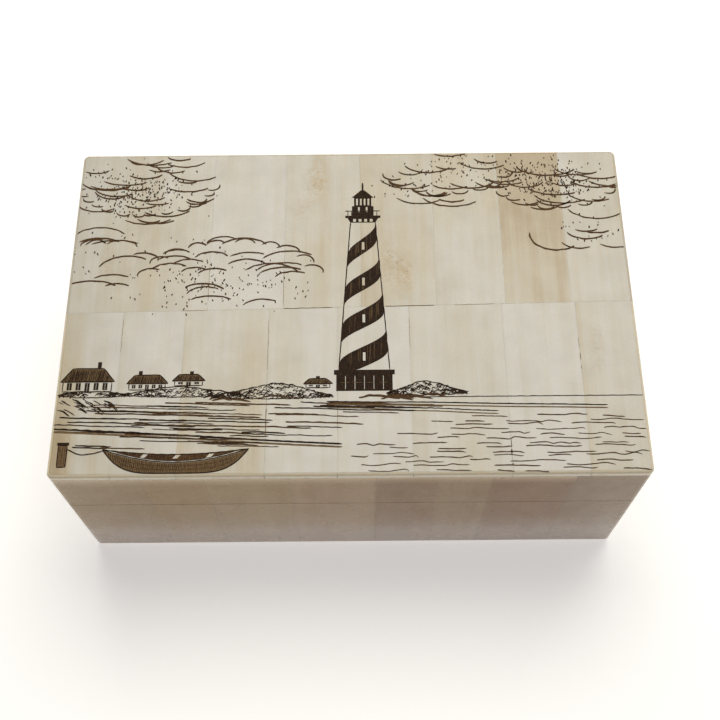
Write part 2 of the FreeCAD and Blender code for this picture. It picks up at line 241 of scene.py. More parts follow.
# Painted light by height: a painted highlight on the lid's rounded edges, a painted floor reflection on
# the walls' foot and a painted glow on their brow.
LID_EDGE_LIGHT = ((58.2, 0.45), (58.9, 0.75), (59.3, 0.95), (59.96, 0.95), (59.995, 0.0))
FOOT_BOUNCE_STOPS = (
    (2.0, 0.64), (8.0, 0.62), (13.0, 0.55), (19.0, 0.3), (26.0, 0.13), (34.0, 0.07), (48.0, 0.0),
)
FOOT_RAGGED = 9.0
BROW_GLOW_STOPS = ((53.0, 0.0), (55.5, 0.2), (57.0, 0.42), (58.0, 0.7))
# Past this X the long walls' brow has little painted glow, only this share of it.
GLOW_FADES_FROM, GLOW_SHARE_PAST = 57.0, 0.15
# How much of the painted light each part gets: the lid's rows by name, and the walls.
ROW_EDGE_LIGHT = {"back": 0.35, "front": 1.0}
FRONT_PAINTED_SHARE, OTHER_PAINTED_SHARE = 1.0, 0.35
LID_GLOSS, WALL_GLOSS = 0.5, 0.25
FIBRE_SHADE = ((0.1, srgb(255, 255, 255)), (0.9, srgb(236, 229, 216)))
ALONG_Y, ALONG_Z = (1.0, 0.045, 0.4), (1.0, 1.0, 0.045)


class Bone:
    """Polished bone with its grain drawn out one way. seed moves the grain from one tile to the next."""

    def __init__(self, name, grain, seed):
        self.graph = Graph(name)
        self.place = self.graph.millimetres()
        self.drift = (seed * 7.3, seed * 3.1, seed * 5.7)
        self.along = self.graph.stretched(self.place, grain, self.drift)

    def varied(self, tone=0.0):
        """The tone with the grain's streaks and slow cloudiness added."""
        graph = self.graph
        for scale, strength in ((0.28, 0.55), (1.3, 0.16)):
            streak = graph.math("SUBTRACT", graph.noise(self.along, scale, 3.0), 0.5)
            tone = graph.math("MULTIPLY_ADD", streak, strength * 2, tone)
        cloudy = graph.noise(graph.stretched(self.place, (1, 1, 1), self.drift), 0.07, 2.0)
        return graph.math("MULTIPLY_ADD", graph.math("SUBTRACT", cloudy, 0.5), 0.6, tone)

    def painted_light_by_height(self, colour, target, stops, ragged=0.0, share=1.0):
        """The colour moved towards another one by height, for painted light. stops are heights and how
        far it has gone there.
        """
        height = self.graph.axis(self.place, "Z")
        if ragged:
            shift = self.graph.math("SUBTRACT", self.graph.noise(self.along, 0.35), 0.5)
            height = self.graph.math("MULTIPLY_ADD", shift, ragged, height)
        gone = self.graph.times(self.graph.profile(height, stops), share)
        return self.graph.mix(gone, colour, target)

    def finish(self, colour, gloss):
        graph = self.graph
        pores = graph.span(graph.noise(self.along, 3.2, 2.0), 0.70, 0.78)
        patches = graph.span(graph.noise(self.place, 0.12, 1.0), 0.50, 0.66)
        pores = graph.times(pores, patches)
        colour = graph.mix(graph.times(pores, 0.55), colour, PORE)
        smear = graph.noise(graph.stretched(self.place, (0.3, 0.3, 0.3), self.drift), 0.5, 3.0)
        height = graph.math("MULTIPLY_ADD", pores, -0.6, graph.noise(self.along, 0.9, 2.0))
        return graph.surface(
            Base_Color=colour,
            Roughness=graph.span(smear, 0.3, 0.75, 0.2, 0.36),
            IOR=1.54,
            Specular_IOR_Level=gloss,
            Subsurface_Weight=0.16,
            Subsurface_Radius=(1.0, 0.62, 0.34),
            Subsurface_Scale=0.001,
            Normal=graph.bump(height, 0.12, 0.0001),
        )


def lid_bone(name, tones, lean, seed, stains, paling):
    """A lid tile. tones are (x, tone) stops; lean is its middle and half-size in Y and how it leans."""
    bone = Bone(name, ALONG_Y, seed)
    graph, place = bone.graph, bone.place
    tone = graph.profile(graph.axis(place, "X"), tones)
    middle, half, more = lean
    if more:
        end = graph.span(graph.axis(place, "Y"), middle - half, middle + half, -more, more)
        tone = graph.math("ADD", tone, end)
    colour = graph.ramp(bone.varied(tone), tuple(zip((0.0, 0.35, 0.68, 1.0), TOP_BONE)))
    for x, y, half_x, half_y, strength in stains:
        broken = graph.span(graph.noise(place, 0.55, 4.0, 0.7), 0.36, 0.6)
        mask = graph.times(graph.spot(place, x, y, half_x, half_y), broken)
        colour = graph.mix(graph.times(mask, strength), colour, STAIN)
        specks = graph.times(mask, graph.span(graph.noise(place, 1.5, 2.0), 0.58, 0.66))
        colour = graph.mix(graph.times(specks, strength), colour, SPECK)
    # The rounded edges are painted paler: a painted highlight, strongest on the front row.
    edge_light = [(height, share * paling) for height, share in LID_EDGE_LIGHT]
    return bone.finish(bone.painted_light_by_height(colour, EDGE_PAINTED_LIGHT, edge_light), LID_GLOSS)


def wall_bone(name, axis, colours, seed, painted_share):
    """A wall's tiles. colours are (place, colour) stops along the axis; painted_share is how much
    painted light its foot and brow get.
    """
    bone = Bone(name, ALONG_Z, seed)
    graph = bone.graph
    colour = graph.blend(graph.axis(bone.place, axis), colours)
    shade = graph.ramp(graph.math("ADD", bone.varied(), 0.5), FIBRE_SHADE)
    colour = graph.mix(1.0, colour, shade, "MULTIPLY")
    foot = [(height, share * painted_share) for height, share in FOOT_BOUNCE_STOPS]
    brow = [(height, share * painted_share) for height, share in BROW_GLOW_STOPS]
    # The foot is painted paler: a painted reflection of the pale floor.
    colour = bone.painted_light_by_height(colour, FOOT_PAINTED_BOUNCE, foot, FOOT_RAGGED)
    along = graph.axis(bone.place, axis)
    # The brow is painted paler: a painted glow of light through the bone, with little of it at the far
    # end of the long walls.
    share = graph.span(along, GLOW_FADES_FROM, GLOW_FADES_FROM + 0.2, 1.0, GLOW_SHARE_PAST)
    return bone.finish(bone.painted_light_by_height(colour, BROW_PAINTED_GLOW, brow, 0.0, share), WALL_GLOSS)


def paint(node, material):
    NODES[node].material_slots[0].material = material


def paint_lid_tiles():
    for row, tiles in TILE_TONES.items():
        for number, tones in enumerate(tiles, 1):
            node = f"lid_top_tile_{row}_{number}"
            low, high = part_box(node)
            step = (high.x - low.x) / MM / (len(tones) - 1)
            stops = [(low.x / MM + step * index, tone) for index, tone in enumerate(tones)]
            half = (high.y - low.y) / 2 / MM
            lean = (low.y / MM + half, half, TILE_LEANS[row][number - 1])
            seed = number + (10 if row == "back" else 0)
            stains = STAINS.get(node, ())
            paint(node, lid_bone(f"bone_{row}_{number}", stops, lean, seed, stains, ROW_EDGE_LIGHT[row]))


def tile_ends(node, axis):
    """Where a group's tiles begin and end along an axis, in millimetres, from their flat end faces."""
    areas = {}
    for face in NODES[node].data.polygons:
        if abs(face.normal[axis]) > 0.99:
            place = round(face.center[axis] / MM, 2)
            areas[place] = areas.get(place, 0) + face.area
    low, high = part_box(node)
    joints = sorted(place for place, area in areas.items() if area > (5 * MM) ** 2)
    return sorted({round(low[axis] / MM, 2), *joints, round(high[axis] / MM, 2)})


def paint_wall_tiles():
    draw = random.Random(5)
    for side, axis in (("front", 0), ("back", 0), ("left", 1), ("right", 1)):
        ends = tile_ends(f"lid_{side}_tiles", axis)
        # The front wall's colours carry painted shade.
        colours = FRONT_BONE_SHADED if side == "front" else draw.sample(SIDE_BONE, len(SIDE_BONE))
        stops = []
        for low, high, colour in zip(ends[::2], ends[1::2], colours):
            stops += [(low, colour), (high, colour)]
        painted_share = FRONT_PAINTED_SHARE if side == "front" else OTHER_PAINTED_SHARE
        material = wall_bone(f"bone_{side}", "XY"[axis], stops, 20 + axis, painted_share)
        for half in ("lid", "base"):
            paint(f"{half}_{side}_tiles", material)


# -------------------- wood, brass and felt


def wood(name, grain, seed):
    """Stained and waxed hardwood, its grain drawn out along one axis."""
    graph = Graph(name)
    place = graph.millimetres()
    along = graph.stretched(place, grain, (seed * 11.0, seed * 5.0, seed * 3.0))
    warp = graph.noise(along, 0.12, 3.0)
    rings = graph.math("SINE", graph.times(warp, 42.0))
    fibres = graph.noise(along, 1.6, 4.0, 0.6)
    figure = graph.math("MULTIPLY_ADD", rings, 0.22, fibres)
    colour = graph.ramp(
        figure,
        ((0.2, srgb(70, 40, 22)), (0.5, srgb(110, 68, 38)), (0.8, srgb(142, 94, 56))),
    )
    return graph.surface(
        Base_Color=colour,
        Roughness=graph.span(fibres, 0.3, 0.7, 0.38, 0.58),
        Normal=graph.bump(fibres, 0.25, 0.0002),
    )


def brass():
    graph = Graph("satin_brass")
    place = graph.millimetres()
    tarnish = graph.span(graph.noise(place, 0.5, 4.0, 0.65), 0.4, 0.75)
    scratches = graph.noise(graph.stretched(place, (0.3, 4.0, 4.0)), 2.0, 2.0)
    return graph.surface(
        Base_Color=graph.mix(tarnish, srgb(214, 176, 98), srgb(150, 112, 58)),
        Metallic=1.0,
        Roughness=graph.span(scratches, 0.3, 0.7, 0.24, 0.44),
        Normal=graph.bump(scratches, 0.12, 0.00005),
    )


def felt(name, light, dark):
    graph = Graph(name)
    place = graph.millimetres()
    tufts = graph.noise(place, 1.8, 5.0, 0.75)
    patches = graph.noise(place, 0.08, 2.0)
    shade = graph.math("MULTIPLY_ADD", patches, 0.35, tufts)
    return graph.surface(
        Base_Color=graph.ramp(shade, ((0.45, dark), (0.85, light))),
        Roughness=0.95,
        Sheen_Weight=0.5,
        Sheen_Roughness=0.4,
        Normal=graph.bump(tufts, 0.8, 0.0004),
    )


def paint_rest():
    along_x = wood("wood_along_x", (0.07, 1, 1), 1)
    along_y = wood("wood_along_y", (1, 0.07, 1), 2)
    metal = brass()
    for node in NODES:
        if node.endswith(("_panel", "_front_wall", "_back_wall")):
            paint(node, along_x)
        elif node.endswith(("_left_wall", "_right_wall")):
            paint(node, along_y)
        elif node.startswith("hinge_"):
            paint(node, metal)


# -------------------- drawing on the lid

HALF_X, HALF_Y, TOP = (size / MM for size in cad_box[1])
LID_ROUND = 0.9
INK_LIFT = 0.02
DARK, BROWN, WASH, FAINT = range(4)


def ink(name, deep, thin, paling):
    """Ink rubbed into cut lines. wear is how much of it has thinned, drawn out along Y like the cuts."""
    graph = Graph(name)
    place = graph.millimetres()
    cuts = graph.noise(graph.stretched(place, (5.0, 0.5, 1.0)), 1.0, 3.0, 0.6)
    blots = graph.noise(place, 1.7, 3.0)
    thinned = graph.math("MULTIPLY_ADD", blots, 0.5, graph.times(cuts, 0.5))
    return graph.surface(
        Base_Color=graph.mix(graph.span(thinned, 0.62 - paling, 0.62), deep, thin),
        Roughness=graph.span(blots, 0.3, 0.7, 0.5, 0.8),
        Specular_IOR_Level=0.12,
        Normal=graph.bump(cuts, 0.3, 0.00005),
    )


INKS = (
    ink("ink_dark", srgb(38, 24, 13), srgb(74, 54, 36), 0.16),
    ink("ink_brown", srgb(68, 45, 25), srgb(114, 87, 57), 0.22),
    ink("ink_wash", srgb(96, 75, 49), srgb(138, 114, 82), 0.3),
    ink("ink_faint", srgb(160, 138, 104), srgb(190, 172, 142), 0.3),
)


def on_lid(x, y, lift):
    """A point on the lid's top face, following the rounding along its edges."""
    over = math.hypot(max(0, abs(x) - HALF_X + LID_ROUND), max(0, abs(y) - HALF_Y + LID_ROUND))
    over = min(over, LID_ROUND * 0.97)
    drop = LID_ROUND - math.sqrt(LID_ROUND**2 - over**2)
    return x * MM, y * MM, (TOP - drop + lift) * MM


def smooth(path, spacing=0.45):
    """Points along the smooth line that goes through every point of the path."""
    ends = [path[0], *path, path[-1]]
    line = []
    for before, start, end, after in zip(ends, ends[1:], ends[2:], ends[3:]):
        before, start, end, after = (Vector(point) for point in (before, start, end, after))
        steps = max(1, round((end - start).length / spacing))
        for step in range(steps):
            t = step / steps
            bend = 2 * before - 5 * start + 4 * end - after
            twist = 3 * start - before - 3 * end + after
            line.append(start + ((end - before) * t + bend * t**2 + twist * t**3) / 2)
    return line + [Vector(path[-1])]


class Plate:
    """One piece of the engraving: ink a hair above the bone, drawn in millimetres."""

    def __init__(self, name, seed):
        self.name = name
        self.draw = random.Random(seed)
        self.points, self.faces, self.inks = [], [], []
        self.marks = 0

    def lift(self):
        """Each mark lies at its own height, so that marks that cross don't share a plane."""
        self.marks += 1
        return INK_LIFT + self.marks % 9 * 0.0012

    def add(self, points, faces, ink_number):
        first = len(self.points)
        self.points += points
        self.faces += [tuple(first + corner for corner in face) for face in faces]
        self.inks += [ink_number] * len(faces)

    def stroke(self, path, width=0.34, ink_number=DARK, wobble=0.07, swell=0.0):
        """A cut line that starts blunt and runs out thin. swell widens its middle."""
        line = smooth(path)
        waves = [(self.draw.uniform(0.8, 2.6), self.draw.uniform(0, 6.3)) for _ in range(3)]
        run = 0.0
        total = sum((b - a).length for a, b in zip(line, line[1:]))
        lift = self.lift()
        points = []
        for index, place in enumerate(line):
            before, after = line[max(0, index - 1)], line[min(len(line) - 1, index + 1)]
            run += (place - before).length
            along = (after - before).normalized()
            across = Vector((-along.y, along.x))
            shake = sum(math.sin(run * pace + start) for pace, start in waves) / 3
            centre = place + across * shake * wobble
            if abs(centre.x) > HALF_X - 0.5 or abs(centre.y) > HALF_Y - 0.5:
                continue
            taper = min(1, 0.6 + run / 0.9, 0.35 + (total - run) / 1.2)
            middle = math.sin(math.pi * run / total)
            half = (width * (1 + 0.16 * shake) + swell * middle) * taper / 2
            for side in (1, -1):
                edge = centre + across * half * side
                points.append(on_lid(edge.x, edge.y, lift))
        faces = [(i, i + 1, i + 3, i + 2) for i in range(0, len(points) - 2, 2)]
        self.add(points, faces, ink_number)

    def dot(self, x, y, size, lean, ink_number=DARK):
        """A short tapered prick."""
        lift = self.lift()
        points = []
        for corner in range(7):
            turn = math.tau * corner / 7
            long, short = size * math.cos(turn), size * 0.5 * math.sin(turn)
            across, up = short + long * lean, long
            points.append(on_lid(x + across, y + up, lift))
        self.add(points, [tuple(range(7))], ink_number)

    def fill(self, outline, holes=(), ink_number=DARK):
        """A patch cut dark all over, apart from its holes, and kept to the flat of the lid."""
        flat_x, flat_y = HALF_X - LID_ROUND, HALF_Y - LID_ROUND
        rings = []
        for ring in (outline, *holes):
            kept = [(max(-flat_x, min(flat_x, x)), max(-flat_y, min(flat_y, y))) for x, y in ring]
            rings.append([Vector((x, y, 0)) for x, y in kept])
        lift = self.lift() - 0.006
        points = [on_lid(point.x, point.y, lift) for ring in rings for point in ring]
        self.add(points, tessellate_polygon(rings), ink_number)

    def finish(self):
        piece = add_piece(self.name, self.points, self.faces, INKS)
        mesh = piece.data
        mesh.polygons.foreach_set("material_index", self.inks)
        face_down = [face for face in mesh.polygons if face.normal.z < 0]
        for face in face_down:
            face.flip()
        mesh.update()
        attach(piece, "lid")


def box(left, low, right, high):
    """The outline of an upright rectangle."""
    return [(left, low), (right, low), (right, high), (left, high)]


# -------------------- felt sheets


FELT_GRID = 0.0007
FELT_SUNK = 0.00009
# How far the cut wanders, and how deep and how wide the soft edge is.
FELT_CUT, FELT_SOFT, FELT_EDGE = 0.00015, 0.00022, 0.0008
# The wool's roughness: how fine it is, its noise on the upper and the lower face, and its height.
WOOL = ((900, 0, 9, 0.00005), (160, 4, 14, 0.00004))


def make_felt(name, node, corner, material, body):
    """A sheet of pressed wool felt, cut by hand: uneven on both faces, soft at its edge."""
    low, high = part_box(node)
    half_x, half_y = high.x, high.y
    columns, rows = round(half_x / FELT_GRID), round(half_y / FELT_GRID)
    points, faces = [], []
    for upper in (True, False):
        for row in range(rows + 1):
            y = half_y * (2 * row / rows - 1)
            into = max(0, abs(y) - half_y + corner)
            reach = half_x - corner + math.sqrt(corner**2 - into**2)
            reach -= FELT_CUT * (1 + noise.noise((0.0, y * 90, 3.0)))
            for column in range(columns + 1):
                x = reach * (2 * column / columns - 1)
                cut = FELT_CUT * (1 + noise.noise((x * 90, math.copysign(7, y), 0.0)))
                depth = y * (1 - cut / half_y)
                edge = min(reach - abs(x), half_y - abs(y))
                soft = FELT_SOFT * max(0, 1 - edge / FELT_EDGE) ** 2
                wool = 0.0
                for fine, above, below, rise in WOOL:
                    wool += noise.noise((x * fine, y * fine, above if upper else below)) * rise
                z = high.z - FELT_SUNK - soft + wool if upper else low.z + FELT_SUNK + soft + wool
                points.append((x, depth, z))
    across = columns + 1
    layer = across * (rows + 1)
    for row in range(rows):
        for column in range(columns):
            a = row * across + column
            faces.append((a, a + 1, a + across + 1, a + across))
            faces.append((a + layer, a + layer + across, a + layer + across + 1, a + layer + 1))
    rim = list(range(across))
    rim += [row * across + columns for row in range(1, rows + 1)]
    rim += [rows * across + column for column in range(columns - 1, -1, -1)]
    rim += [row * across for row in range(rows - 1, 0, -1)]
    for start, end in zip(rim, rim[1:] + rim[:1]):
        faces.append((start, start + layer, end + layer, end))
    piece = add_piece(name, points, faces, [material])
    piece.data.polygons.foreach_set("use_smooth", [True] * len(faces))
    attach(piece, body)
    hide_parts(node)


def make_felts():
    red = felt("liner_felt", srgb(122, 26, 34), srgb(70, 8, 14))
    make_felt("inside_felt", "floor_liner", 0.0006, red, "base")
    green = felt("underside_felt_green", srgb(44, 60, 48), srgb(20, 30, 24))
    make_felt("foot_felt", "underside_felt", 0.003, green, "base")


# -------------------- glue lines between the tiles

ROW_JOINT_Y, ROW_JOINT_SLOPE = -1.3, 0.0155
HALF_GAP = 0.05
TILE_THICK = 2
GLUE_SUNK = 0.015
FOOT_ROUND = 1.2
# How far the walls' glue stops short of the bevels that open the back seam.
BACK_BEVEL = 2
# Where dirt has gathered in the lid's joints: centre and half-size in X and Y, in millimetres.
DIRT = (
    (40.6, -42.5, 1.5, 5.5), (-21.5, -30.0, 1.5, 12.0), (-3.2, -31.0, 1.5, 9.0),
    (-10.5, -1.4, 9.0, 1.5), (16.0, -1.0, 8.5, 1.5), (-17.8, 6.0, 1.5, 10.0),
    (15.8, -9.0, 1.5, 7.0), (-60.2, -8.0, 1.5, 7.0),
)


def glue(name, clean, dirty, dirt=()):
    """The hardened glue that fills a joint, level with the bone but for a hair."""
    graph = Graph(name)
    place = graph.millimetres()
    grubby = graph.span(graph.noise(place, 0.11, 2.0), 0.55, 0.75, 0.0, 0.45)
    for spot in dirt:
        grubby = graph.math("MAXIMUM", grubby, graph.spot(place, *spot))
    crumbs = graph.span(graph.noise(place, 1.1, 3.0), 0.3, 0.6, 0.35, 1.0)
    broken = graph.times(grubby, crumbs)
    return graph.surface(Base_Color=graph.mix(broken, clean, dirty), Roughness=0.5)


def strip(points, faces, edges):
    """Adds a thin wall that fills a joint: edges are pairs of points, outer then inner, along it."""
    first = len(points)
    for across in (-1, 1):
        for outer, inner, way in edges:
            shift = Vector(way) * across
            points += [Vector(outer) + shift, Vector(inner) + shift]
    count = len(edges)
    for step in range(count - 1):
        a, b = first + 2 * step, first + 2 * (step + count)
        faces += [(a, a + 2, a + 3, a + 1), (b, b + 1, b + 3, b + 2), (a, b, b + 2, a + 2)]


def fill_lid_joints(points, faces):
    """The joints between the lid's top tiles: one for each pair in a row, and one between the rows."""
    across, floor = HALF_GAP * MM, (TOP - TILE_THICK) * MM
    joints = []
    for row, way in (("back", 1), ("front", -1)):
        for number in range(1, 8):
            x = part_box(f"lid_top_tile_{row}_{number}")[1].x / MM + HALF_GAP
            start, stop = ROW_JOINT_Y + ROW_JOINT_SLOPE * x, way * (HALF_Y - HALF_GAP)
            places = [(x, stop + (start - stop) * (step / 40) ** 2) for step in range(41)]
            joints.append((places, (across, 0, 0)))
    places = []
    for step in range(81):
        x = (HALF_X - HALF_GAP) * math.sin(math.pi * (step / 80 - 0.5))
        places.append((x, ROW_JOINT_Y + ROW_JOINT_SLOPE * x))
    joints.append((places, (0, across, 0)))
    for places, way in joints:
        edges = [(on_lid(x, y, -GLUE_SUNK), (x * MM, y * MM, floor), way) for x, y in places]
        strip(points, faces, edges)


def fill_wall_joints(points, faces, half):
    """The upright joints of the lid's or the base's walls."""
    foot_round = FOOT_ROUND * MM
    for side, axis, way in (("front", 0, -1), ("back", 0, 1), ("left", 1, -1), ("right", 1, 1)):
        node = f"{half}_{side}_tiles"
        low, high = (corner.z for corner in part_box(node))
        ends = tile_ends(node, axis)
        face = way * (HALF_X if axis else HALF_Y) * MM
        if side == "back" and half == "base":
            high -= BACK_BEVEL * MM
        elif side == "back":
            low += BACK_BEVEL * MM
        shift = (0, HALF_GAP * MM, 0) if axis else (HALF_GAP * MM, 0, 0)
        for before, after in zip(ends[1:-1:2], ends[2:-1:2]):
            middle = (before + after) / 2 * MM
            edges = []
            for step in range(25):
                z = low + (high - low) * (step / 24) ** 2
                under = max(0, foot_round - (z - low)) if half == "base" else 0
                inset = foot_round - math.sqrt(foot_round**2 - under**2) + GLUE_SUNK * MM
                pair = []
                for place in (face - way * inset, face - way * (TILE_THICK - 0.1) * MM):
                    pair.append((place, middle, z) if axis else (middle, place, z))
                edges.append((*pair, shift))
            strip(points, faces, edges)


def fill_joints():
    lid_glue = glue("glue_lid", srgb(212, 204, 190), srgb(104, 90, 70), DIRT)
    wall_glue = glue("glue_walls", srgb(160, 140, 112), srgb(110, 88, 62))
    for name, body, material in (
        ("glue_top", "lid", lid_glue),
        ("glue_lid_walls", "lid", wall_glue),
        ("glue_base_walls", "base", wall_glue),
    ):
        points, faces = [], []
        if name == "glue_top":
            fill_lid_joints(points, faces)
        else:
            fill_wall_joints(points, faces, body)
        piece = add_piece(name, points, faces, [material])
        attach(piece, body)


# -------------------- the lighthouse
#
# The picture is the builder's own seaside scene, built from a few rules and sizes for each motif.

AXIS_X = 3.75
FOOT, HEAD = -19.9, 25.2
HALF_FOOT, HALF_HEAD = 6.65, 3.45
# The spiral's dark bands: how far apart they are, how far each climbs to the right, how tall the
# lowest one is and how much each loses of that.
BAND_COUNT = 4
BAND_PITCH = 11.4
BAND_CLIMB = 9.5
BAND_TALL = 6.0
BAND_LOSS = 0.06


def tower_half(y):
    share = (y - FOOT) / (HEAD - FOOT)
    return HALF_FOOT + (HALF_HEAD - HALF_FOOT) * share


def spiral_edge(left, right):
    """One edge of a band as it winds over the front of the tower, from left to right."""
    edge = []
    for step in range(17):
        turn = math.pi * (step / 16 - 0.5)
        y = min(max(left + (right - left) * step / 16, FOOT), HEAD)
        edge.append((AXIS_X + tower_half(y) * math.sin(turn) * 0.985, y))
    return edge


def inside(point, ring):
    x, y = point
    crossed = False
    for (x1, y1), (x2, y2) in zip(ring, ring[1:] + ring[:1]):
        if (y1 > y) != (y2 > y) and x < (x2 - x1) * (y - y1) / (y2 - y1) + x1:
            crossed = not crossed
    return crossed


def runs(line, ring, holes=()):
    """The stretches of a line of points that lie inside the ring and outside its holes."""
    run = []
    for point in [*line, None]:
        if point and inside(point, ring) and not any(inside(point, hole) for hole in holes):
            run.append(point)
            continue
        if len(run) > 2:
            yield run
        run = []


def spread(low, high, count, wide):
    """The left and right ends of evenly spaced things of one width between low and high."""
    gap = (high - low - count * wide) / (count + 1)
    for number in range(count):
        left = low + gap + number * (wide + gap)
        yield left, left + wide


def engrave_tower(plate):
    for number in range(BAND_COUNT):
        low = FOOT - BAND_CLIMB * 0.4 + number * BAND_PITCH
        high = low + BAND_TALL * (1 - BAND_LOSS * number)
        band = spiral_edge(low, low + BAND_CLIMB) + spiral_edge(high, high + BAND_CLIMB)[::-1]
        band = [point for point, after in zip(band, band[1:] + band[:1]) if point != after]
        middle = (low + high + BAND_CLIMB) / 2
        window = box(AXIS_X - 0.35, middle - 1.2, AXIS_X + 0.35, middle + 1.2)
        plate.fill(band, [window])
        for _ in range(11):
            x = AXIS_X + HALF_HEAD * plate.draw.uniform(-1.2, 1.2)
            cut = [(x + 0.02 * t, low + t * 0.5) for t in range(-4, 40)]
            for run in runs(cut, band, [window]):
                first = plate.draw.randrange(len(run) // 2)
                plate.stroke([run[first], run[-1]], plate.draw.uniform(0.05, 0.1), WASH, 0.03)
    for side in (-1, 1):
        outline = [(AXIS_X + side * tower_half(y), y) for y in (HEAD, 10, -5, FOOT)]
        plate.stroke(outline, 0.3, wobble=0.04)
    engrave_lantern(plate)
    engrave_plinth(plate)


def tier(plate, half_low, half_high, low, high, openings, wide, sill=0.3):
    """One storey: a dark block on the tower's axis with a row of light openings."""
    holes = []
    if openings:
        ends = spread(AXIS_X - half_low, AXIS_X + half_low, openings, wide)
        holes = [box(left, low + sill, right, high - 0.3) for left, right in ends]
    ring = [(AXIS_X - half_low, low), (AXIS_X + half_low, low)]
    ring += [(AXIS_X + half_high, high), (AXIS_X - half_high, high)]
    plate.fill(ring, holes)


def engrave_lantern(plate):
    """The corbels, the gallery with its rail, the lantern room, its roof and the rod on top."""
    tier(plate, HALF_HEAD, 4.3, HEAD, 26.7, 4, 0.8)
    tier(plate, 4.9, 4.9, 26.7, 27.5, 0, 0)
    for left, right in spread(AXIS_X - 4.9, AXIS_X + 4.9, 9, 0.24):
        plate.stroke([(left, 27.5), (left, 29.0)], 0.24, wobble=0.02)
    plate.stroke([(AXIS_X - 4.9, 29.0), (AXIS_X + 4.9, 29.0)], 0.3, wobble=0.02)
    tier(plate, 3.0, 3.0, 27.5, 30.6, 2, 0.5, 1.2)
    tier(plate, 2.4, 2.4, 30.6, 33.4, 4, 0.5)
    tier(plate, 3.1, 0.5, 33.4, 35.9, 0, 0)
    plate.stroke([(AXIS_X, 35.8), (AXIS_X, 38.4)], 0.5, wobble=0.02)


def engrave_plinth(plate):
    tier(plate, 7.9, 7.9, -21.2, -19.8, 0, 0)
    tier(plate, 7.3, 7.3, -25.8, -21.2, 5, 0.14, 0.5)
    for left, right in spread(AXIS_X - 7.3, AXIS_X + 7.3, 4, 2.2):
        plate.stroke([(left, -23.4), (right, -23.4)], 0.12, WASH, 0.02)


# -------------------- the buildings

# Cottages: left end, ground, length, height to the ridge, and where the chimney stands along it.
COTTAGES = (
    (-74.3, -25.4, 12.6, 6.6, 0.72),
    (-57.2, -25.0, 9.4, 4.2, 0.3),
    (-45.4, -23.9, 7.2, 3.2, 0.6),
    (-11.4, -24.8, 6.2, 2.6, 0.5),
)
WINDOW_PITCH = 2.5


def engrave_outline(plate, ring, width):
    for start, end in zip(ring, ring[1:] + ring[:1]):
        plate.stroke([start, end], width, wobble=0.05)


def engrave_roof(plate, ring, slope):
    """A roof of thin ink with its courses cut over it. slope is how far a course leans."""
    plate.fill(ring, ink_number=WASH)
    engrave_outline(plate, ring, 0.32)
    left, right = min(x for x, _ in ring), max(x for x, _ in ring)
    low, high = min(y for _, y in ring), max(y for _, y in ring)
    x = left - max(0, slope)
    while x < right - min(0, slope):
        course = [(x + slope * t / 16, low + (high - low) * t / 16) for t in range(17)]
        for run in runs(course, ring):
            plate.stroke([run[0], run[-1]], plate.draw.uniform(0.14, 0.3), wobble=0.05)
        x += plate.draw.uniform(0.26, 0.42)


def engrave_cottage(plate, left, ground, length, tall, chimney):
    """A cottage from its long side: a hipped roof, a door in the middle and windows beside it."""
    right, eaves, ridge = left + length, ground + tall * 0.42, ground + tall
    inset = tall * 0.35
    stack = left + length * chimney
    plate.fill(box(stack - 0.5, ridge - 0.2, stack + 0.5, ridge + tall * 0.28))
    roof = [(left - 0.7, eaves), (right + 0.7, eaves), (right - inset, ridge), (left + inset, ridge)]
    engrave_roof(plate, roof, 0.5)
    engrave_outline(plate, box(left, ground, right, eaves), 0.28)
    count = max(3, round(length / WINDOW_PITCH)) | 1
    for number, (low, high) in enumerate(spread(left, right, count, length / count * 0.5)):
        sill = ground if number == count // 2 else ground + 0.45
        bar = (low + high) / 2
        glazing_bar = box(bar - 0.05, sill + 0.15, bar + 0.05, eaves - 0.45)
        plate.fill(box(low, sill, high, eaves - 0.3), [glazing_bar])


def engrave_buildings(plate):
    for cottage in COTTAGES:
        engrave_cottage(plate, *cottage)


# -------------------- dunes and shore

# Banks of rock: left and right end, the level they lie on, how tall they rise and how many rocks.
ROCK_BANKS = (
    (-75.2, -58.0, -26.6, 1.2, 80),
    (-59.0, -28.0, -26.6, 2.2, 150),
    (-35.0, -4.6, -27.3, 3.6, 230),
    (10.0, 30.0, -26.6, 3.2, 190),
)
HORIZON = -27.6


def bank_lines(left, right, level, tall):
    """The lower and the upper edge of a bank: a long swell with a smaller one on it."""
    low, high = [], []
    for step in range(25):
        share = step / 24
        x = left + (right - left) * share
        swell = math.sin(math.pi * share)
        low.append((x, level - 0.5 * swell))
        high.append((x, level + 0.3 + tall * swell * (0.85 + 0.15 * math.sin(9 * share + left))))
    return low, high


def engrave_rocks(plate, left, right, level, tall, count):
    """A bank of loose rocks, each rock a small hooked cut, some with a dark hollow beside it."""
    draw = plate.draw
    low, high = bank_lines(left, right, level, tall)
    for _ in range(count):
        x = draw.uniform(left, right)
        step = round((x - left) / (right - left) * 24)
        y = draw.uniform(low[step][1], high[step][1])
        wide, rise = draw.uniform(0.4, 0.95), draw.uniform(0.15, 0.5)
        lean = draw.uniform(-0.35, 0.35)
        hook = [(x - wide, y - rise * 0.6 - lean), (x - wide * 0.3, y + rise * 0.6)]
        hook.append((x + wide * 0.8, y - rise * 0.3 + lean))
        plate.stroke(hook, draw.uniform(0.2, 0.34), wobble=0.08)
        if draw.random() < 0.25:
            plate.dot(x + wide * 0.6, y - 0.25, draw.uniform(0.16, 0.26), draw.uniform(-1.0, 1.0))
    plate.stroke(high[::3], 0.3, wobble=0.16)
    plate.stroke(low[::3], 0.28, wobble=0.14)


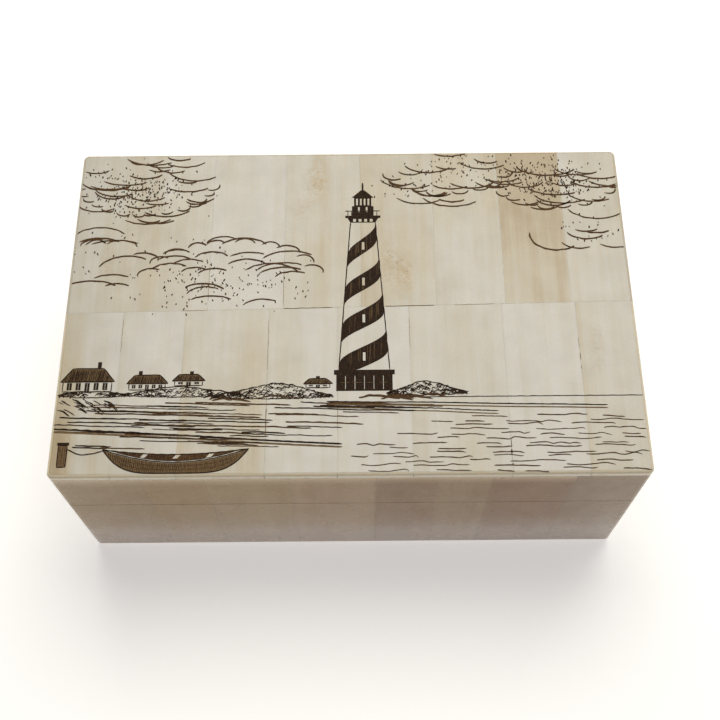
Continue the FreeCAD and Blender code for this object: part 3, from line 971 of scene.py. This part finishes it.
def engrave_dunes(plate):
    draw = plate.draw
    for bank in ROCK_BANKS:
        engrave_rocks(plate, *bank)
    for _ in range(9):
        x, reach = draw.uniform(-44, 30), draw.uniform(5, 11)
        y = draw.uniform(-28.2, -27.2)
        ridge = [(x, y), (x + reach * 0.4, y + 0.6), (x + reach, y - 0.4)]
        plate.stroke(ridge, draw.uniform(0.3, 0.5), BROWN, 0.1, swell=0.2)
    for _ in range(34):
        x, y = draw.uniform(-75.2, -62.0), draw.uniform(-30.6, -27.4)
        reach = draw.uniform(0.9, 3.4)
        tuft = [(x, y), (x + reach * 0.4, y - reach * 0.15), (x + reach, y - reach * 0.55)]
        plate.stroke(tuft, draw.uniform(0.2, 0.34), wobble=0.1)
    plate.stroke([(14, HORIZON), (45, HORIZON), (75.6, HORIZON)], 0.26, wobble=0.05)


# Tide lines across the beach: how far each reaches to the right, Y at its left and right end, width.
TIDE_LINES = ((-2.0, -35.6, -40.4, 0.5), (38.0, -29.4, -31.6, 0.3), (66.0, -28.6, -30.2, 0.34))
SHORE_CUTS = 84
SHORE_FALL = 0.035


def shore_reach(y):
    """How far right the beach goes at a height: it narrows towards the viewer."""
    return 34 - 68 * ((HORIZON - y) / 20) ** 0.8


def engrave_shore(plate):
    draw = plate.draw
    for right, y_left, y_right, width in TIDE_LINES:
        left = -75.8 if right < 0 else -6
        path = []
        for step in range(7):
            y = y_left + (y_right - y_left) * step / 6 + draw.uniform(-0.1, 0.1)
            path.append((left + (right - left) * step / 6, y))
        plate.stroke(path, width, wobble=0.05)
        plate.stroke([(x, y - 0.8) for x, y in path], width, WASH, 0.03)
    for number in range(SHORE_CUTS):
        y = HORIZON - 1.0 - 19.6 * ((number + draw.random()) / SHORE_CUTS) ** 1.25
        limit = shore_reach(y)
        reach = draw.uniform(0.12, 0.34) * (limit + 76)
        x = draw.uniform(-75.5, limit - reach)
        if y < BOAT_Y + 2.4 and x < BOAT_X + BOAT_HALF:
            continue
        steps = max(3, round(reach / 5))
        path = []
        for step in range(steps + 1):
            along = reach * step / steps
            path.append((x + along, y - SHORE_FALL * along + draw.uniform(-0.12, 0.12)))
        plate.stroke(path, draw.uniform(0.26, 0.42), draw.choice((DARK, BROWN)), 0.06)


# -------------------- boat and water

BOAT_X, BOAT_Y, BOAT_HALF = -44.0, -43.4, 18.5
BOAT_RISE = 2.0


def boat_line(sag, squareness):
    """A line along the boat from end to end. It hangs by sag, more evenly the squarer it is."""
    line = []
    for step in range(33):
        share = step / 16 - 1
        ends = abs(share) ** squareness
        x = BOAT_X + BOAT_HALF * share * (1 - 0.05 * (1 - ends))
        line.append((x, BOAT_Y + BOAT_RISE * ends - sag * (1 - ends)))
    return line


def engrave_boat(plate):
    far_rail, near_rail, keel = boat_line(-0.6, 2), boat_line(1.5, 2), boat_line(4.4, 5)
    inner_rail = [(x, y + 0.4) for x, y in near_rail[3:-3]]
    outer_rail = [(x, y - 0.2) for x, y in near_rail[1:-1]]
    thwarts = []
    for share in (-0.45, 0.0, 0.45):
        x, lean, drop = BOAT_X + BOAT_HALF * share, 1.0, 0.8 * share**2
        low, high = BOAT_Y - 0.5 + drop, BOAT_Y + 0.55 + drop
        left, right = x - 0.7, x + 0.5
        thwarts.append([(left, low), (right, low), (right + lean, high), (left + lean, high)])
    hollow = far_rail + inner_rail[::-1]
    hull = outer_rail + keel[::-1]
    plate.fill(hollow, thwarts, BROWN)
    plate.fill(hull, ink_number=WASH)
    for path, width in ((far_rail, 0.3), (near_rail, 0.3), (keel, 0.34), (inner_rail, 0.2)):
        plate.stroke(path[::2], width, wobble=0.03)
    for share in (0.35, 0.68):
        plank = []
        for (x, y), (keel_x, keel_y) in zip(near_rail[2:-2:3], keel[2:-2:3]):
            plank.append((x + (keel_x - x) * share, y + (keel_y - y) * share))
        plate.stroke(plank, 0.2, BROWN, 0.03)
    x = BOAT_X - BOAT_HALF
    while x < BOAT_X + BOAT_HALF:
        rib = [(x + 0.05 * t, BOAT_Y + 2.4 - 0.2 * t) for t in range(36)]
        for ring, holes, width in ((hollow, thwarts, 0.2), (hull, (), 0.15)):
            for run in runs(rib, ring, holes):
                plate.stroke([run[0], run[-1]], width, DARK if x < BOAT_X else BROWN, 0.04)
        x += plate.draw.uniform(0.32, 0.6)
    engrave_post(plate)


def engrave_post(plate):
    """A mooring post with a flat cap, and the slack rope from it to the boat."""
    shaft = box(-73.6, -46.0, -71.4, -40.2)
    plate.fill(shaft, ink_number=WASH)
    engrave_outline(plate, shaft, 0.3)
    plate.fill(box(-74.0, -40.2, -71.0, -39.4))
    for x in (-73.1, -72.5, -71.9):
        plate.stroke([(x, -40.6), (x, -45.6)], 0.18, BROWN, 0.08)
    bow = (BOAT_X - BOAT_HALF + 0.4, BOAT_Y + 1.7)
    plate.stroke([(-71.4, -41.2), (-68.4, -42.6), (-65.2, -42.5), bow], 0.34)


def engrave_water(plate):
    """Ripples: rows of short cuts over the open water, which reach further left lower down."""
    draw = plate.draw
    for row in range(13):
        y = -32.9 - row * 1.22
        x = max(8, shore_reach(y) + 22) + draw.uniform(-8, 10)
        while x < 72:
            reach = draw.uniform(4, 15)
            end = min(x + reach, 75.3)
            low = y + draw.uniform(-0.45, 0.45)
            path = [(x, low)]
            while path[-1][0] < end - 2.2:
                path.append((path[-1][0] + draw.uniform(1.5, 4.5), low + draw.uniform(-0.3, 0.3)))
            path.append((end, low + draw.uniform(-0.5, 0.2)))
            path = [point for point in path[:-1] if point[0] < end - 0.5] + path[-1:]
            plate.stroke(path, draw.uniform(0.24, 0.34), BROWN, 0.05)
            x = end + draw.uniform(2.5, 8)


# -------------------- clouds

# Banks of cloud: centre, half-size in X and Y, how many billows, how many dots, and the way that its
# billows bulge, up (1) or down (-1).
CLOUD_BANKS = (
    (-57.0, 39.0, 21.0, 12.5, 42, 280, -1),
    (-67.0, 11.0, 13.0, 9.0, 12, 14, 1),
    (-32.0, 8.0, 25.0, 13.0, 30, 170, 1),
    (28.0, 43.0, 18.0, 9.0, 24, 110, -1),
    (58.0, 39.5, 19.0, 11.0, 30, 320, -1),
    (65.0, 23.0, 11.0, 5.0, 6, 24, -1),
)


def engrave_billow(plate, x, y, half_x, half_y, start, stop):
    """Part of an ellipse, from one angle in degrees to another."""
    turns = (math.radians(start + (stop - start) * step / 8) for step in range(9))
    path = [(x + half_x * math.cos(turn), y + half_y * math.sin(turn)) for turn in turns]
    plate.stroke(path, plate.draw.uniform(0.38, 0.48), BROWN, 0.08, swell=0.06)


def engrave_clouds(plate):
    """Each bank has billows around its outer edge and more, flatter ones scattered inside it."""
    draw = plate.draw
    for x, y, half_x, half_y, billows, _, way in CLOUD_BANKS:
        rim = billows // 3
        for number in range(rim):
            turn = math.pi * (number + 0.5 + draw.uniform(-0.2, 0.2)) / rim
            across, up = half_x * 0.88 * math.cos(turn), half_y * 0.8 * math.sin(turn) * way
            size = half_x / rim * draw.uniform(1.0, 1.5)
            tilt = 34 * math.cos(turn)
            start, stop = (20 - tilt, 160 - tilt) if way > 0 else (-20 + tilt, -160 + tilt)
            tall = size * draw.uniform(0.5, 0.75)
            engrave_billow(plate, x + across, y + up, size, tall, start, stop)
        for _ in range(billows - rim):
            turn, reach = draw.uniform(0, math.tau), math.sqrt(draw.random()) * 0.9
            across, up = half_x * reach * math.cos(turn), half_y * reach * math.sin(turn)
            size = draw.uniform(3.5, 9.5)
            start, stop = way * draw.uniform(30, 60), way * draw.uniform(130, 165)
            tall = size * draw.uniform(0.4, 0.7)
            engrave_billow(plate, x + across, y + up, size, tall, start, stop)


def engrave_stipple(plate):
    """The sky is pricked with dots, in drifts over each bank of cloud."""
    draw = plate.draw
    for x, y, half_x, half_y, _, dots, _ in CLOUD_BANKS:
        drifts = []
        for _ in range(6):
            drifts.append((draw.uniform(-0.7, 0.7) * half_x, draw.uniform(-0.8, 0.5) * half_y))
        for number in range(dots):
            drift_x, drift_y = drifts[number % len(drifts)]
            across = x + drift_x + draw.gauss(0, half_x * 0.26)
            up = y + drift_y + draw.gauss(0, half_y * 0.26)
            if abs(across) < HALF_X - 1 and abs(up) < HALF_Y - 1:
                size, lean = draw.uniform(0.24, 0.46), draw.uniform(-0.5, 0.5)
                plate.dot(across, up, size, lean, draw.choice((DARK, BROWN)))


# -------------------- dirt in the joints

# Dirt packed into the joints in a row of tiles: X, where it begins and ends in Y, its width and ink.
UPRIGHT_DIRT = (
    (40.65, -39.4, -41.6, 0.16, BROWN), (40.6, -42.2, -43.5, 0.42, DARK),
    (40.7, -45.9, -46.5, 0.45, DARK), (60.2, -11.0, -14.0, 0.16, FAINT),
    (60.3, -15.5, -17.5, 0.2, WASH), (60.3, -19.0, -20.2, 0.16, FAINT),
    (-21.5, -30.4, -38.2, 0.2, WASH), (-21.5, -5.0, -19.5, 0.14, FAINT),
    (-3.2, -29.5, -35.8, 0.16, FAINT), (-17.8, 9.0, -0.8, 0.16, FAINT),
    (15.8, -4.6, -13.5, 0.14, FAINT), (-60.2, -4.5, -14.0, 0.14, FAINT),
    (-38.0, 12.0, 1.0, 0.14, FAINT),
)
# Dirt packed into the joint between the rows: where it begins and ends in X, its width and ink.
LEVEL_DIRT = (
    (-17.6, -4.5, 0.2, WASH), (9.4, 22.8, 0.22, WASH),
    (-45.0, -38.0, 0.16, FAINT), (28.0, 39.0, 0.14, FAINT),
)


def pack_dirt(plate):
    for x, start, stop, width, ink_number in UPRIGHT_DIRT:
        plate.stroke([(x, start), (x, (start + stop) / 2), (x, stop)], width, ink_number, 0.04)
    for start, stop, width, ink_number in LEVEL_DIRT:
        path = [(x, ROW_JOINT_Y + ROW_JOINT_SLOPE * x) for x in (start, (start + stop) / 2, stop)]
        plate.stroke(path, width, ink_number, 0.05)


# The pieces of the picture: each one's name, its seed and what draws it.
PLATES = (
    ("ink_clouds", 17, engrave_clouds),
    ("ink_stipple", 18, engrave_stipple),
    ("ink_tower", 11, engrave_tower),
    ("ink_buildings", 12, engrave_buildings),
    ("ink_dunes", 13, engrave_dunes),
    ("ink_shore", 14, engrave_shore),
    ("ink_boat", 15, engrave_boat),
    ("ink_water", 16, engrave_water),
    ("joint_dirt", 19, pack_dirt),
)


def engrave_lid():
    for name, seed, engrave in PLATES:
        plate = Plate(name, seed)
        engrave(plate)
        plate.finish()


# -------------------- stage


CAMERA_PLACE = (0.0031, -0.1417, 0.3229)
CAMERA_LENS = 55.69
FLOOR_HALF = 3.0
# How far the camera turns from looking straight along +Y, looks down and tilts, in degrees.
CAMERA_YAW, CAMERA_PITCH, CAMERA_ROLL = -0.21, 64.62, -0.69


def make_camera():
    """Stands in front of the box and above it, looking steeply down."""
    yaw, pitch, roll = (math.radians(angle) for angle in (CAMERA_YAW, CAMERA_PITCH, CAMERA_ROLL))
    level = Vector((math.cos(yaw), -math.sin(yaw), 0))
    ahead = Vector((math.sin(yaw), math.cos(yaw), 0))
    forward = ahead * math.cos(pitch) - Vector((0, 0, math.sin(pitch)))
    upward = level.cross(forward)
    right = level * math.cos(roll) + upward * math.sin(roll)
    up = upward * math.cos(roll) - level * math.sin(roll)
    data = bpy.data.cameras.new("camera")
    data.lens = CAMERA_LENS
    data.sensor_width = 36
    camera = add_object("camera", data)
    turn = Matrix((right, up, -forward)).transposed().to_4x4()
    camera.matrix_world = Matrix.Translation(CAMERA_PLACE) @ turn
    bpy.context.scene.camera = camera


def make_floor():
    """White paper that glows a little, more so far away, so that it reads as plain white."""
    graph = Graph("floor_paper")
    paper = graph.surface(
        Base_Color=srgb(245, 244, 242),
        Roughness=0.9,
        Emission_Color=(1, 1, 1, 1),
        Emission_Strength=graph.span(graph.length(graph.millimetres()), 500, 2000, 0.5, 0.82),
    )
    corners = [(x, y, 0) for x, y in box(-FLOOR_HALF, -FLOOR_HALF, FLOOR_HALF, FLOOR_HALF)]
    add_piece("floor", corners, [(0, 1, 2, 3)], [paper])


def make_lamp(name, place, target, size, power, colour):
    data = bpy.data.lights.new(name, "AREA")
    data.shape = "RECTANGLE"
    data.size, data.size_y = size
    data.energy = power
    data.color = colour
    lamp = add_object(name, data)
    lamp.location = place
    lamp.rotation_euler = (Vector(target) - Vector(place)).to_track_quat("-Z", "Y").to_euler()


def make_light():
    """A dim warm fill, a pale backdrop, and one large lamp above the box and behind it."""
    scene = bpy.context.scene
    scene.view_settings.view_transform = "Standard"
    world = bpy.data.worlds.new("studio")
    world.use_nodes = True
    tree = world.node_tree
    background = tree.nodes["Background"]
    background.inputs["Color"].default_value = (1.0, 0.9, 0.78, 1)
    background.inputs["Strength"].default_value = 0.05
    backdrop = tree.nodes.new("ShaderNodeBackground")
    backdrop.inputs["Color"].default_value = (0.9, 0.89, 0.87, 1)
    seen = tree.nodes.new("ShaderNodeLightPath")
    either = tree.nodes.new("ShaderNodeMixShader")
    tree.links.new(seen.outputs["Is Camera Ray"], either.inputs[0])
    tree.links.new(background.outputs[0], either.inputs[1])
    tree.links.new(backdrop.outputs[0], either.inputs[2])
    tree.links.new(either.outputs[0], tree.nodes["World Output"].inputs["Surface"])
    scene.world = world
    make_lamp("key", (0.1, 0.5, 1.1), (0, 0, 0.05), (1.0, 0.8), 11.5, (1.0, 0.97, 0.9))


paint_lid_tiles()
paint_wall_tiles()
paint_rest()
make_felts()
fill_joints()
engrave_lid()
make_camera()
make_floor()
make_light()
